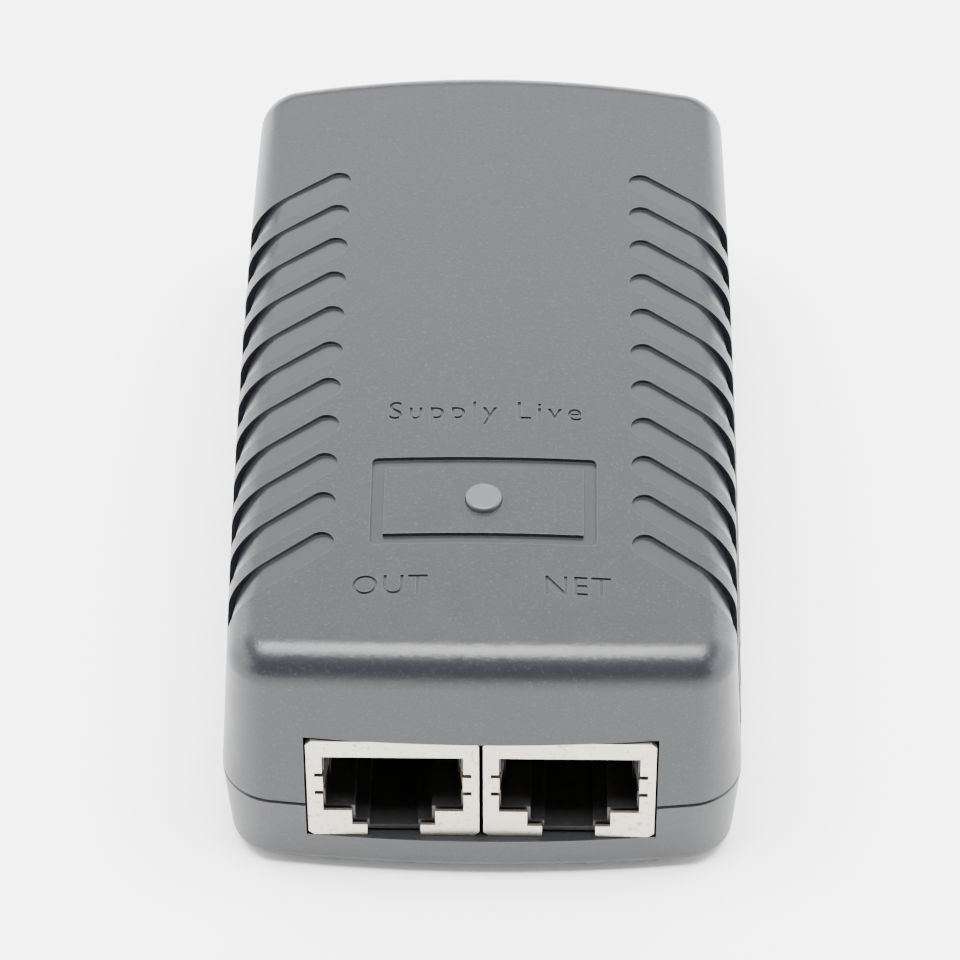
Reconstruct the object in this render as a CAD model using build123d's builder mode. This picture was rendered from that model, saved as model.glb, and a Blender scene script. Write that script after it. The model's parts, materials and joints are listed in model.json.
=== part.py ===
"""Two-port power-over-Ethernet injector: a two-shell desktop case around a mains power supply.

Frame: millimetres, +Z up, the ports face -Y, and the origin is on the surface that the feet stand on,
under the middle of the case.
"""
import os
from math import cos, radians, sin, sqrt, tan

from build123d import *

# ---- Case ----
CASE_LENGTH = 83.5  # along Y, over the bowed ends at the parting line
CASE_WIDTH = 49.6  # along X, over the bowed sides at the parting line
CASE_HEIGHT = 30.0  # underside to the top of the crown
FOOT_HEIGHT = 0.8  # how far the feet hold the case off the surface
LOWER_SHELL_HEIGHT = 9.2  # underside to the parting line
WALL = 2.2
FLOOR = 2.0
END_BOW_RADIUS = 170.0  # plan radius of the two end faces
SIDE_BOW = 0.55  # how far each side swells between its corners
CORNER_RADIUS = 5.3  # plan radius of the four corners
UPPER_DRAFT = 3.65  # degrees, walls of the upper shell
LOWER_DRAFT = 4.2  # degrees, walls of the lower shell
CROWN_RADIUS_X = 177.0  # crown of the top, side to side
CROWN_RADIUS_Y = 495.0  # crown of the top, end to end
SHOULDER_RADIUS = 3.6  # edge between the top and the walls
BOTTOM_RADIUS = 1.3  # edge between the underside and the walls
PARTING_CHAMFER = 0.22  # reveal where the shells meet
REBATE_INSET = 1.3  # outer skin left beside the tongue-and-rebate joint
TONGUE_HEIGHT = 1.0
FIT = 0.1  # clearance between parts that locate one another

# ---- Grip grooves on the shoulders of the upper shell ----
GROOVE_COUNT = 11  # on each side
GROOVE_PITCH = 4.866
GROOVE_ANGLE = 35.0  # degrees from the X axis, outer end towards the ports
GROOVE_RADIUS = 1.3  # half width, and the radius of the rounded inner end
GROOVE_INNER_X = 15.05  # centre of the rounded inner end, from the middle plane
GROOVE_MIDDLE_Y = -1.35  # Y of the middle groove's inner end
GROOVE_TOP_DEPTH = 0.34
GROOVE_SIDE_DEPTH = 0.72
GROOVE_FRONT_DEPTH = 0.2  # depth left at the shallow front edge

# ---- Status window and lens on the top ----
WINDOW_Y = -20.83
WINDOW_WIDTH = 21.0
WINDOW_DEPTH_Y = 10.5
WINDOW_CHANNEL = 1.2
WINDOW_CORNER = 0.55
WINDOW_RECESS = 0.4
LENS_RADIUS = 1.69
LENS_PROUD = 0.5
LENS_SEAT = 0.3
LENS_STEM_RADIUS = 1.35
LENS_STEM_END = 14.0  # height above the case underside

# ---- Ports: shielded 8-way sockets, side by side ----
PORT_WIDTH = 16.0
PORT_HEIGHT = 13.4
PORT_LENGTH = 15.5
PORT_GAP = 0.38
PORT_SETBACK = 1.05  # port faces behind the middle of the bowed end face
PORT_BASE = 4.6  # port underside above the case underside
SHIELD_SHEET = 0.3
SHIELD_CORNER = 0.5
FACE_OPENING = (13.1, 7.7)  # plug opening in the shield face, wide and high
FACE_STEP = (7.8, 2.04)  # latch opening below it
FACE_NOTCH_WIDTH = 5.0  # slot below that, open at the bottom
FACE_TOP_BAND = 2.2
GROUND_TAB = (2.0, 0.25, 3.2)  # high, thick and long
PLUG_WIDTH = 11.9  # the cavity that the plug slides in
PLUG_HEIGHT = 6.95
PLUG_DEPTH = 12.2
PORT_WALL_GAP = 0.2  # case opening around the pair of ports
CONTACT_COUNT = 8
CONTACT_PITCH = 1.02
CONTACT_WIRE = 0.32
CONTACT_LENGTH = 8.4
CONTACT_SLOPE = 19.5  # degrees below the horizontal, at rest
CONTACT_SETBACK = 2.1  # contact bend behind the port face
CONTACT_DROP = 2.05  # contact bend below the port's top

# ---- Mains inlet: three-pin appliance inlet with an earth pin ----
INLET_WIDTH = 27.0
INLET_HEIGHT = 19.7
INLET_LENGTH = 17.2
INLET_BASE = 3.4  # inlet body's underside above the case underside
INLET_CAVITY_WIDTH = 24.2
INLET_CAVITY_HEIGHT = 16.6
INLET_CAVITY_DEPTH = 15.6
INLET_CAVITY_CORNER = 5.0  # the two bevelled corners beside the earth pin
INLET_FLANGE = 1.2  # collar behind the wall, all round
INLET_FLANGE_THICKNESS = 1.9
INLET_SETBACK = 0.4  # mouth behind the end face at the parting line
PIN_WIDTH = 2.0
PIN_HEIGHT = 4.0
PIN_SPREAD = 7.0  # live and neutral, each side of the middle
PIN_RISE = 2.0  # earth above, live and neutral below the cavity's middle
PIN_SETBACK = 1.7  # pin tips behind the mouth
PIN_TAIL = 1.0  # square tail that goes down into the board

# ---- Board and what holds it ----
BOARD_THICKNESS = 1.6
BOARD_HALF_WIDTH = 21.2
BOARD_REAR_Y = 23.6
BOARD_CORNER_CUT = (6.0, 8.6)  # front corners cleared for the case posts
BOARD_SCREW_X = 18.7
BOARD_SCREW_FRONT_Y = -27.4
BOARD_SCREW_REAR_Y = 20.4
BOARD_BOSS_RADIUS = 2.6
BOARD_SCREW_RADIUS = 1.0
BOARD_SCREW_HEAD = (2.0, 1.5)  # radius and height
LEAD_LENGTH_BELOW = 0.55  # solder tails under the board
SHEET_THICKNESS = 0.25

# ---- Case screws, feet and rating label ----
CASE_SCREW_X = 19.0
CASE_SCREW_FRONT_Y = -35.6
CASE_SCREW_REAR_Y = 35.2
CASE_SCREW_RADIUS = 1.0
CASE_SCREW_HEAD = (2.05, 1.8)
CASE_SCREW_SHANK = 11.5
BOSS_RADIUS = 2.7
POST_RADIUS = 2.4
FOOT_RADIUS = 4.0
FOOT_X = 16.5
FOOT_Y = 29.5
FOOT_RECESS = 0.4
LABEL_SIZE = (22.0, 46.0)
LABEL_RECESS = 0.25
LABEL_THICKNESS = 0.2

# ---- Places that follow from the sizes above ----
UNDERSIDE = FOOT_HEIGHT
PARTING = UNDERSIDE + LOWER_SHELL_HEIGHT
CROWN = UNDERSIDE + CASE_HEIGHT
HALF_LENGTH = CASE_LENGTH / 2
HALF_WIDTH = CASE_WIDTH / 2
INNER_FLOOR = UNDERSIDE + FLOOR
PORT_FACE = -HALF_LENGTH + PORT_SETBACK
PORT_BOTTOM = UNDERSIDE + PORT_BASE
PORT_TOP = PORT_BOTTOM + PORT_HEIGHT
PORT_X = (PORT_WIDTH + PORT_GAP) / 2
PORT_HALF_SPAN = PORT_X + PORT_WIDTH / 2
OPENING_TOP = PORT_TOP - FACE_TOP_BAND
OPENING_BOTTOM = OPENING_TOP - FACE_OPENING[1]
STEP_BOTTOM = OPENING_BOTTOM - FACE_STEP[1]
PLUG_FLOOR = OPENING_BOTTOM + 0.15
BOARD_TOP = PORT_BOTTOM
BOARD_BOTTOM = BOARD_TOP - BOARD_THICKNESS
TAIL_END = BOARD_BOTTOM - LEAD_LENGTH_BELOW
INLET_BOTTOM = UNDERSIDE + INLET_BASE
INLET_MIDDLE = INLET_BOTTOM + INLET_HEIGHT / 2


def end_face_y(x):
    """Distance of the bowed end face from the middle of the case, at x."""
    return HALF_LENGTH - (END_BOW_RADIUS - sqrt(END_BOW_RADIUS**2 - x**2))


def side_face_x(y, z):
    """Half width of the upper shell at y and height z, with its bow and draft."""
    corner_y = end_face_y(HALF_WIDTH)
    bow = SIDE_BOW * (y / corner_y) ** 2
    return HALF_WIDTH - bow - (z - PARTING) * tan(radians(UPPER_DRAFT))


def crown_z(x, y):
    """Height of the crowned top at a point in plan."""
    return CROWN - x**2 / (2 * CROWN_RADIUS_X) - y**2 / (2 * CROWN_RADIUS_Y)


def case_outline(inset):
    """Plan outline at the parting line, moved in by inset."""
    x = HALF_WIDTH - SIDE_BOW - inset
    y = end_face_y(HALF_WIDTH - SIDE_BOW) - inset
    with BuildSketch(mode=Mode.PRIVATE) as outline:
        with BuildLine():
            ThreePointArc((-x, -y), (0, -(HALF_LENGTH - inset)), (x, -y))
            ThreePointArc((x, -y), (HALF_WIDTH - inset, 0), (x, y))
            ThreePointArc((x, y), (0, HALF_LENGTH - inset), (-x, y))
            ThreePointArc((-x, y), (-(HALF_WIDTH - inset), 0), (-x, -y))
        make_face()
        fillet(outline.vertices(), CORNER_RADIUS - inset)
    return outline.sketch


def crown_block(drop):
    """Everything under the crowned top, with the crown lowered by drop."""
    top = CROWN - drop
    half = HALF_WIDTH + 10
    edge = top - half**2 / (2 * CROWN_RADIUS_X)
    swing = 14.0
    axis = Axis((0, 0, top - CROWN_RADIUS_Y), (1, 0, 0))
    with BuildPart(mode=Mode.PRIVATE) as block:
        with BuildSketch(Plane.XZ):
            with BuildLine():
                ThreePointArc((-half, edge), (0, top), (half, edge))
                low = top - 3 * CASE_HEIGHT
                Polyline((half, edge), (half, low), (-half, low), (-half, edge))
            make_face()
        revolve(axis=axis, revolution_arc=swing)
    turned = block.part.rotate(axis, -swing / 2)
    if turned.bounding_box().min.Y > -HALF_LENGTH:
        turned = block.part.rotate(axis, swing / 2)
    return turned


def upper_block(inset):
    """Solid of the upper half of the case, moved in by inset on its walls and top."""
    with BuildPart(mode=Mode.PRIVATE) as block:
        with BuildSketch(Plane.XY.offset(PARTING)):
            add(case_outline(inset))
        extrude(amount=CASE_HEIGHT, taper=UPPER_DRAFT)
        add(crown_block(inset), mode=Mode.INTERSECT)
        rim = block.faces().sort_by(Axis.Z)[-1].edges()
        fillet(rim, SHOULDER_RADIUS - inset)
    return block.part


def lower_block():
    """Solid of the lower half of the case, its walls leaning in towards the underside."""
    with BuildPart(mode=Mode.PRIVATE) as block:
        with BuildSketch(Plane.XY.offset(PARTING)):
            add(case_outline(0))
        extrude(amount=UNDERSIDE - PARTING, taper=LOWER_DRAFT)
        fillet(block.faces().sort_by(Axis.Z)[0].edges(), BOTTOM_RADIUS)
    return block.part


def lower_hollow():
    """Straight-sided space inside the lower shell, above its floor."""
    with BuildPart(mode=Mode.PRIVATE) as hollow:
        with BuildSketch(Plane.XY.offset(INNER_FLOOR)):
            add(case_outline(WALL))
        extrude(amount=LOWER_SHELL_HEIGHT)
    return hollow.part


def shoulder_section(y, top_depth, side_depth):
    """Start, middle and end of the shoulder's curve at y, in X and Z, sunk by the two depths."""
    corner_x = side_face_x(y, CROWN) - side_depth
    for _ in range(3):
        corner_z = crown_z(corner_x, y) - top_depth
        corner_x = side_face_x(y, corner_z) - side_depth
    slope = corner_x / CROWN_RADIUS_X
    draft = tan(radians(UPPER_DRAFT))
    to_top = Vector(-1, slope).normalized()
    to_side = Vector(draft, -1).normalized()
    half_angle = radians(to_top.get_angle(to_side) / 2)
    corner = Vector(corner_x, corner_z)
    reach = SHOULDER_RADIUS / tan(half_angle)
    inward = (to_top + to_side).normalized() * (SHOULDER_RADIUS / sin(half_angle) - SHOULDER_RADIUS)
    return corner + to_top * reach, corner + inward, corner + to_side * reach


def groove_cutter(tip_y):
    """Cutter of one grip groove on the +X side: deep along its rear edge, shallow along the front."""
    turn = radians(GROOVE_ANGLE)
    outward = Vector(cos(turn), -sin(turn), 0)
    forward = outward.cross(Vector(0, 0, 1))
    rear = Vector(GROOVE_INNER_X, tip_y, 0) - forward * GROOVE_RADIUS
    beyond = HALF_WIDTH + 3
    above = CROWN + 3

    def along(x):
        return (x - rear.X) / cos(turn)

    def y_at(x):
        return rear.Y - along(x) * sin(turn)

    inner_x = GROOVE_INNER_X - 3
    shoulder = shoulder_section(y_at(HALF_WIDTH - 3), GROOVE_TOP_DEPTH, GROOVE_SIDE_DEPTH)
    foot_x = side_face_x(y_at(HALF_WIDTH), PARTING) - GROOVE_SIDE_DEPTH
    inner_z = crown_z(inner_x, y_at(inner_x)) - GROOVE_TOP_DEPTH
    width = 2 * GROOVE_RADIUS
    out = GROOVE_SIDE_DEPTH - GROOVE_FRONT_DEPTH
    ramp = forward * width
    ramp += outward * ((out - ramp.X) / cos(turn))
    fall = crown_z(shoulder[0].X - out, rear.Y) - crown_z(shoulder[0].X, rear.Y + ramp.Y)
    ramp += Vector(0, 0, GROOVE_TOP_DEPTH - GROOVE_FRONT_DEPTH - fall)
    with BuildPart(mode=Mode.PRIVATE) as cutter:
        with BuildSketch(Plane(origin=rear, x_dir=outward, z_dir=forward)):
            with BuildLine():
                Line((along(inner_x), inner_z), (along(shoulder[0].X), shoulder[0].Y))
                ThreePointArc(*[(along(point.X), point.Y) for point in shoulder])
                Polyline(
                    (along(shoulder[2].X), shoulder[2].Y),
                    (along(foot_x), PARTING - 1),
                    (along(beyond), PARTING - 1),
                    (along(beyond), above),
                    (along(inner_x), above),
                    (along(inner_x), inner_z),
                )
            make_face()
        extrude(amount=ramp.length, dir=ramp.normalized())
        with BuildSketch(Plane.XY.offset(PARTING - 0.5)):
            length = 2 * (beyond - GROOVE_INNER_X)
            middle = Vector(GROOVE_INNER_X, tip_y, 0) + outward * (length / 2 - GROOVE_RADIUS)
            with Locations(Location((middle.X, middle.Y, 0), (0, 0, -GROOVE_ANGLE))):
                SlotOverall(length, width)
        extrude(amount=CASE_HEIGHT, mode=Mode.INTERSECT)
    return cutter.part


def engraved(sketch, depth):
    """Cutter that sinks a plan outline into the crowned top by an even depth."""
    with BuildPart(mode=Mode.PRIVATE) as cutter:
        with BuildSketch(Plane.XY.offset(PARTING)):
            add(sketch)
        extrude(amount=CASE_HEIGHT)
        add(crown_block(depth), mode=Mode.SUBTRACT)
    return cutter.part


def window_channel():
    """Plan outline of the sunk frame around the status lens."""
    inner = (WINDOW_WIDTH - 2 * WINDOW_CHANNEL, WINDOW_DEPTH_Y - 2 * WINDOW_CHANNEL)
    with BuildSketch(mode=Mode.PRIVATE) as channel:
        with Locations((0, WINDOW_Y)):
            RectangleRounded(WINDOW_WIDTH, WINDOW_DEPTH_Y, WINDOW_CORNER)
            RectangleRounded(*inner, WINDOW_CORNER / 2, mode=Mode.SUBTRACT)
    return channel.sketch


def box(x, y, z):
    """Solid box from low and high limits along each axis."""
    middle = Pos((x[0] + x[1]) / 2, (y[0] + y[1]) / 2, (z[0] + z[1]) / 2)
    return middle * Box(x[1] - x[0], y[1] - y[0], z[1] - z[0], mode=Mode.PRIVATE)


def cylinder(x, y, radius, z):
    """Upright cylinder between two heights."""
    return Pos(x, y, (z[0] + z[1]) / 2) * Cylinder(radius, z[1] - z[0], mode=Mode.PRIVATE)


def corners(x, front_y, rear_y):
    """The four places that are mirrored across the middle plane."""
    return [(sign * x, y) for y in (front_y, rear_y) for sign in (-1, 1)]


CASE_SCREWS = corners(CASE_SCREW_X, CASE_SCREW_FRONT_Y, CASE_SCREW_REAR_Y)
BOARD_SCREWS = corners(BOARD_SCREW_X, BOARD_SCREW_FRONT_Y, BOARD_SCREW_REAR_Y)
PORT_OPENING = box(
    (-PORT_HALF_SPAN - PORT_WALL_GAP, PORT_HALF_SPAN + PORT_WALL_GAP),
    (-HALF_LENGTH - 2, PORT_FACE + WALL + 3),
    (PORT_BOTTOM - FIT, PORT_TOP + PORT_WALL_GAP),
)
INLET_OPENING = box(
    (-INLET_WIDTH / 2 - FIT, INLET_WIDTH / 2 + FIT),
    (HALF_LENGTH - WALL - 3, HALF_LENGTH + 2),
    (INLET_BOTTOM - FIT, INLET_BOTTOM + INLET_HEIGHT + FIT),
)


# ---- Case ----
with BuildPart() as top_shell:
    add(upper_block(0))
    chamfer(top_shell.faces().sort_by(Axis.Z)[0].edges(), PARTING_CHAMFER)
    split(bisect_by=Plane.YZ)
    first_tip = GROOVE_MIDDLE_Y - (GROOVE_COUNT - 1) / 2 * GROOVE_PITCH
    tips = [first_tip + step * GROOVE_PITCH for step in range(GROOVE_COUNT)]
    add([groove_cutter(tip) for tip in tips], mode=Mode.SUBTRACT)
    mirror(about=Plane.YZ)
    posts_within = upper_block(WALL / 2)
    add(upper_block(WALL), mode=Mode.SUBTRACT)
    for x, y in CASE_SCREWS:
        add(cylinder(x, y, POST_RADIUS, (PARTING, CROWN)) & posts_within)
    with BuildSketch(Plane.XY.offset(PARTING)):
        add(case_outline(REBATE_INSET))
        add(case_outline(WALL + FIT), mode=Mode.SUBTRACT)
    extrude(amount=TONGUE_HEIGHT + FIT, mode=Mode.SUBTRACT)
    for x, y in CASE_SCREWS:
        bore = cylinder(x, y, CASE_SCREW_RADIUS + FIT / 2, (PARTING - 1, PARTING + CASE_SCREW_SHANK))
        add(bore, mode=Mode.SUBTRACT)
    add(PORT_OPENING, mode=Mode.SUBTRACT)
    add(INLET_OPENING, mode=Mode.SUBTRACT)
    add(engraved(window_channel(), WINDOW_RECESS), mode=Mode.SUBTRACT)
    lens_seat = crown_z(0, WINDOW_Y) - LENS_SEAT
    add(cylinder(0, WINDOW_Y, LENS_RADIUS + FIT / 2, (lens_seat, CROWN + 1)), mode=Mode.SUBTRACT)
    add(cylinder(0, WINDOW_Y, LENS_STEM_RADIUS + FIT, (PARTING, CROWN)), mode=Mode.SUBTRACT)
top_shell.part.label = "top_shell"

with BuildPart() as bottom_shell:
    add(lower_block())
    chamfer(bottom_shell.faces().sort_by(Axis.Z)[-1].edges(), PARTING_CHAMFER)
    add(lower_hollow(), mode=Mode.SUBTRACT)
    with BuildSketch(Plane.XY.offset(PARTING - FIT)):
        add(case_outline(REBATE_INSET + FIT))
        add(case_outline(WALL), mode=Mode.SUBTRACT)
    extrude(amount=TONGUE_HEIGHT + FIT)
    for x, y in CASE_SCREWS:
        add(cylinder(x, y, BOSS_RADIUS, (UNDERSIDE, PARTING)))
    for x, y in CASE_SCREWS:
        add(cylinder(x, y, CASE_SCREW_RADIUS + 3 * FIT, (UNDERSIDE - 1, PARTING + 2)), mode=Mode.SUBTRACT)
        seat = PARTING - CASE_SCREW_SHANK / 2
        add(cylinder(x, y, CASE_SCREW_HEAD[0] + FIT, (UNDERSIDE - 1, seat)), mode=Mode.SUBTRACT)
    for x, y in BOARD_SCREWS:
        add(cylinder(x, y, BOARD_BOSS_RADIUS, (INNER_FLOOR - 1, BOARD_BOTTOM)))
        bore = cylinder(x, y, BOARD_SCREW_RADIUS + FIT / 4, (UNDERSIDE + FLOOR / 2, BOARD_TOP))
        add(bore, mode=Mode.SUBTRACT)
    for x, y in corners(FOOT_X, -FOOT_Y, FOOT_Y):
        add(cylinder(x, y, FOOT_RADIUS + FIT, (UNDERSIDE - 1, UNDERSIDE + FOOT_RECESS)), mode=Mode.SUBTRACT)
    with BuildSketch(Plane.XY.offset(UNDERSIDE)):
        RectangleRounded(LABEL_SIZE[0] + 4 * FIT, LABEL_SIZE[1] + 4 * FIT, 1.5)
    extrude(amount=LABEL_RECESS, mode=Mode.SUBTRACT)
    add(PORT_OPENING, mode=Mode.SUBTRACT)
    add(INLET_OPENING, mode=Mode.SUBTRACT)
bottom_shell.part.label = "bottom_shell"

with BuildPart() as led_lens:
    seat = crown_z(0, WINDOW_Y) - LENS_SEAT
    add(cylinder(0, WINDOW_Y, LENS_RADIUS, (seat, seat + LENS_SEAT + LENS_PROUD)))
    fillet(led_lens.faces().sort_by(Axis.Z)[-1].edges(), LENS_PROUD / 2)
    add(cylinder(0, WINDOW_Y, LENS_STEM_RADIUS, (UNDERSIDE + LENS_STEM_END, seat)))
led_lens.part.label = "led_lens"

with BuildPart() as case_screws:
    for x, y in CASE_SCREWS:
        seat = PARTING - CASE_SCREW_SHANK / 2
        add(cylinder(x, y, CASE_SCREW_HEAD[0], (seat - CASE_SCREW_HEAD[1], seat)))
        add(cylinder(x, y, CASE_SCREW_RADIUS, (seat, seat + CASE_SCREW_SHANK)))
        for turn in (0, 90):
            slot = Box(0.5, 2.4, 1.0, mode=Mode.PRIVATE).rotate(Axis.Z, turn)
            add(Pos(x, y, seat - CASE_SCREW_HEAD[1]) * slot, mode=Mode.SUBTRACT)
case_screws.part.label = "case_screws"

with BuildPart() as rubber_feet:
    for x, y in corners(FOOT_X, -FOOT_Y, FOOT_Y):
        add(cylinder(x, y, FOOT_RADIUS, (0, UNDERSIDE + FOOT_RECESS)))
    fillet(rubber_feet.edges().group_by(Axis.Z)[0], FOOT_HEIGHT / 3)
rubber_feet.part.label = "rubber_feet"

with BuildPart() as rating_label:
    with BuildSketch(Plane.XY.offset(UNDERSIDE + LABEL_RECESS)):
        RectangleRounded(*LABEL_SIZE, 1.5)
    extrude(amount=-LABEL_THICKNESS)
rating_label.part.label = "rating_label"


# ---- Ports ----
def port_shield(x):
    """Folded sheet shell of one port, its face towards -Y."""
    half = PORT_WIDTH / 2
    rear = PORT_FACE + PORT_LENGTH
    sheet = SHIELD_SHEET
    tab_high, tab_thick, tab_long = GROUND_TAB
    tab_z = (OPENING_TOP + OPENING_BOTTOM) / 2
    edge = FACE_OPENING[0] / 2
    with BuildPart(mode=Mode.PRIVATE) as shield:
        add(box((x - half, x + half), (PORT_FACE, rear), (PORT_BOTTOM, PORT_TOP)))
        chamfer(shield.edges().filter_by(Axis.Y), SHIELD_CORNER)
        hollow = box(
            (x - half + sheet, x + half - sheet),
            (PORT_FACE + sheet, rear - sheet),
            (PORT_BOTTOM + sheet, PORT_TOP - sheet),
        )
        add(hollow, mode=Mode.SUBTRACT)
        face_y = (PORT_FACE - 1, PORT_FACE + 2 * sheet)
        add(box((x - edge, x + edge), face_y, (OPENING_BOTTOM, OPENING_TOP)), mode=Mode.SUBTRACT)
        step = FACE_STEP[0] / 2
        add(box((x - step, x + step), face_y, (STEP_BOTTOM, OPENING_TOP)), mode=Mode.SUBTRACT)
        notch = FACE_NOTCH_WIDTH / 2
        latch_way = box((x - notch, x + notch), (PORT_FACE - 1, PORT_FACE + 2), (PORT_BOTTOM - 1, OPENING_TOP))
        add(latch_way, mode=Mode.SUBTRACT)
        comb = CONTACT_COUNT * CONTACT_PITCH / 2 + 0.3
        lead_way = box((x - comb, x + comb), (rear - 1.8, rear - 0.6), (PORT_BOTTOM - 1, PORT_BOTTOM + 2 * sheet))
        add(lead_way, mode=Mode.SUBTRACT)
        for sign in (-1, 1):
            for slot_z in (tab_z - tab_high / 2 - 0.25, tab_z + tab_high / 2 + 0.25):
                low, high = sorted((x + sign * (edge - 0.1), x + sign * (edge + 0.75)))
                add(box((low, high), face_y, (slot_z - 0.25, slot_z + 0.25)), mode=Mode.SUBTRACT)
            with BuildSketch(Plane.XY.offset(tab_z - tab_high / 2)):
                with BuildLine():
                    Polyline(
                        (x + sign * (edge + 0.2), PORT_FACE),
                        (x + sign * (edge + 0.2), PORT_FACE + sheet),
                        (x + sign * (edge - 0.2), PORT_FACE + tab_long),
                        (x + sign * (edge - 0.2 - tab_thick), PORT_FACE + tab_long),
                        (x + sign * (edge - 0.05), PORT_FACE),
                        close=True,
                    )
                make_face()
            extrude(amount=tab_high)
            leg_x = x + sign * (half - sheet / 2)
            leg_z = (TAIL_END, PORT_BOTTOM + 2 * SHIELD_CORNER)
            add(box((leg_x - sheet / 2, leg_x + sheet / 2), (rear - 6, rear - 4.4), leg_z))
    return shield.part


def contact_x(x):
    """X of each contact of the port whose middle is at x."""
    return [x + (i - (CONTACT_COUNT - 1) / 2) * CONTACT_PITCH for i in range(CONTACT_COUNT)]


def port_housing(x):
    """Moulded body inside the shield, with the plug cavity and the pocket above it for the contacts."""
    half = PORT_WIDTH / 2 - SHIELD_SHEET
    front = PORT_FACE + 0.55
    rear = PORT_FACE + PORT_LENGTH - 1.6
    comb = CONTACT_COUNT * CONTACT_PITCH / 2 + 0.9
    tab_z = (OPENING_TOP + OPENING_BOTTOM) / 2
    mouth = PLUG_WIDTH / 2 + 0.4
    with BuildPart(mode=Mode.PRIVATE) as housing:
        add(box((x - half, x + half), (front, rear), (PORT_BOTTOM + SHIELD_SHEET, PORT_TOP - SHIELD_SHEET)))
        for width, low, high, depth in (
            (2 * mouth, PLUG_FLOOR, PLUG_FLOOR + PLUG_HEIGHT, 3.6),
            (PLUG_WIDTH, PLUG_FLOOR, PLUG_FLOOR + PLUG_HEIGHT, PLUG_DEPTH),
            (FACE_STEP[0] - 0.6, STEP_BOTTOM + 0.2, PLUG_FLOOR + 0.1, PLUG_DEPTH),
            (FACE_NOTCH_WIDTH - 0.4, PORT_BOTTOM + 0.8, PLUG_FLOOR + 0.1, 8.0),
            (2 * comb, PLUG_FLOOR + PLUG_HEIGHT - 0.1, PORT_TOP - 2 * SHIELD_SHEET, 11.2),
        ):
            start = front + (1.0 if width == 2 * comb else -1)
            cut = box((x - width / 2, x + width / 2), (start, front + depth), (low, high))
            add(cut, mode=Mode.SUBTRACT)
        lead_z = PORT_TOP - CONTACT_DROP + 0.75
        slot_x = (x - comb + 0.4, x + comb - 0.4)
        lead_slot = box(slot_x, (front + 10, rear + 1), (lead_z - 0.3, lead_z + 0.3))
        add(lead_slot, mode=Mode.SUBTRACT)
        relief_x = (x - mouth - 0.75, x + mouth + 0.75)
        tab_relief = box(relief_x, (front - 1, front + 3.2), (tab_z - 1.3, tab_z + 1.3))
        add(tab_relief, mode=Mode.SUBTRACT)
    return housing.part


def port_contacts(x):
    """Sprung contact wires: each slopes down and back from its bend behind the face."""
    bend_y = PORT_FACE + CONTACT_SETBACK
    bend_z = PORT_TOP - CONTACT_DROP
    wire = CONTACT_WIRE
    with BuildPart(mode=Mode.PRIVATE) as contacts:
        for wire_x in contact_x(x):
            spring = Pos(0, CONTACT_LENGTH / 2, 0) * Box(wire, CONTACT_LENGTH, wire, mode=Mode.PRIVATE)
            spring += Pos(0, CONTACT_LENGTH, 0.0) * Box(wire, wire, wire, mode=Mode.PRIVATE)
            bend = Cylinder(wire * 0.75, wire, rotation=(0, 90, 0), mode=Mode.PRIVATE)
            piece = (spring + bend).rotate(Axis.X, -CONTACT_SLOPE)
            add(Pos(wire_x, bend_y, bend_z) * piece)
    return contacts.part


def port_leads(x):
    """Fixed wires that carry the contacts over the housing and down into the board."""
    lead_z = PORT_TOP - CONTACT_DROP + 0.75
    start = PORT_FACE + CONTACT_SETBACK
    end = PORT_FACE + PORT_LENGTH - 1.0
    half = CONTACT_WIRE / 2
    with BuildPart(mode=Mode.PRIVATE) as leads:
        for wire_x in contact_x(x):
            add(box((wire_x - half, wire_x + half), (start, end), (lead_z - half, lead_z + half)))
            add(box((wire_x - half, wire_x + half), (end - 2 * half, end), (TAIL_END, lead_z + half)))
    return leads.part


PORT_MAKERS = (
    ("shield", port_shield),
    ("housing", port_housing),
    ("contacts", port_contacts),
    ("leads", port_leads),
)
ports = {}
for side, x in (("left", -PORT_X), ("right", PORT_X)):
    for piece, maker in PORT_MAKERS:
        with BuildPart() as port_piece:
            add(maker(x))
        port_piece.part.label = f"{side}_port_{piece}"
        ports[port_piece.part.label] = port_piece

# ---- Mains inlet ----
INLET_MOUTH = end_face_y(INLET_WIDTH / 2) - INLET_SETBACK
INLET_REAR = INLET_MOUTH - INLET_LENGTH
PIN_PLACES = [
    (-PIN_SPREAD, INLET_MIDDLE - PIN_RISE),
    (0, INLET_MIDDLE + PIN_RISE),
    (PIN_SPREAD, INLET_MIDDLE - PIN_RISE),
]

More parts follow.
